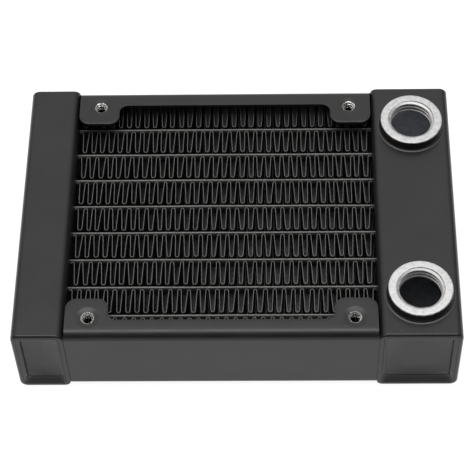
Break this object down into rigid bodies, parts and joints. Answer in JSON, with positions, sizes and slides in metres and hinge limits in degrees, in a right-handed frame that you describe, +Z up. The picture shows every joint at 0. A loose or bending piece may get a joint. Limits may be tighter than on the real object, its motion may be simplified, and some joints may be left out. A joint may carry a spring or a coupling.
{
  "type": "liquid cooling radiator",
  "caption": "Flat black tube-and-fin radiator for a computer's liquid cooling loop, with a port tank, a return tank and side brackets with tapped fan tabs.",
  "frame": {"origin": "centre of the bounding box's bottom face, on the plane the two tanks stand on", "axes": "+X from the return tank to the port tank, +Y from the front bracket to the back bracket, +Z up out of the ports"},
  "size_m": [0.1204, 0.084, 0.0291],
  "materials": {
    "black_powder_coat": "satin black powder coat with a fine grain",
    "core_paint": "thin semi-matt black spray paint",
    "machined_aluminium": "turned bare aluminium, painted black on the outside",
    "brazed_aluminium": "dull furnace-brazed aluminium"
  },
  "bodies": {
    "root": {"return_tank_shell": "black_powder_coat", "port_tank_shell": "black_powder_coat", "return_tank_front_cap": "black_powder_coat", "return_tank_back_cap": "black_powder_coat", "port_tank_front_cap": "black_powder_coat", "port_tank_back_cap": "black_powder_coat", "port_tank_divider": "brazed_aluminium", "front_port_bush": "machined_aluminium", "back_port_bush": "machined_aluminium", "flat_tube_1": "core_paint", "flat_tube_2": "core_paint", "flat_tube_3": "core_paint", "flat_tube_4": "core_paint", "flat_tube_5": "core_paint", "flat_tube_6": "core_paint", "flat_tube_7": "core_paint", "flat_tube_8": "core_paint", "fin_strip_1": "core_paint", "fin_strip_2": "core_paint", "fin_strip_3": "core_paint", "fin_strip_4": "core_paint", "fin_strip_5": "core_paint", "fin_strip_6": "core_paint", "fin_strip_7": "core_paint", "fin_strip_8": "core_paint", "fin_strip_9": "core_paint", "front_bracket": "black_powder_coat", "back_bracket": "black_powder_coat"}
  },
  "joints": []
}
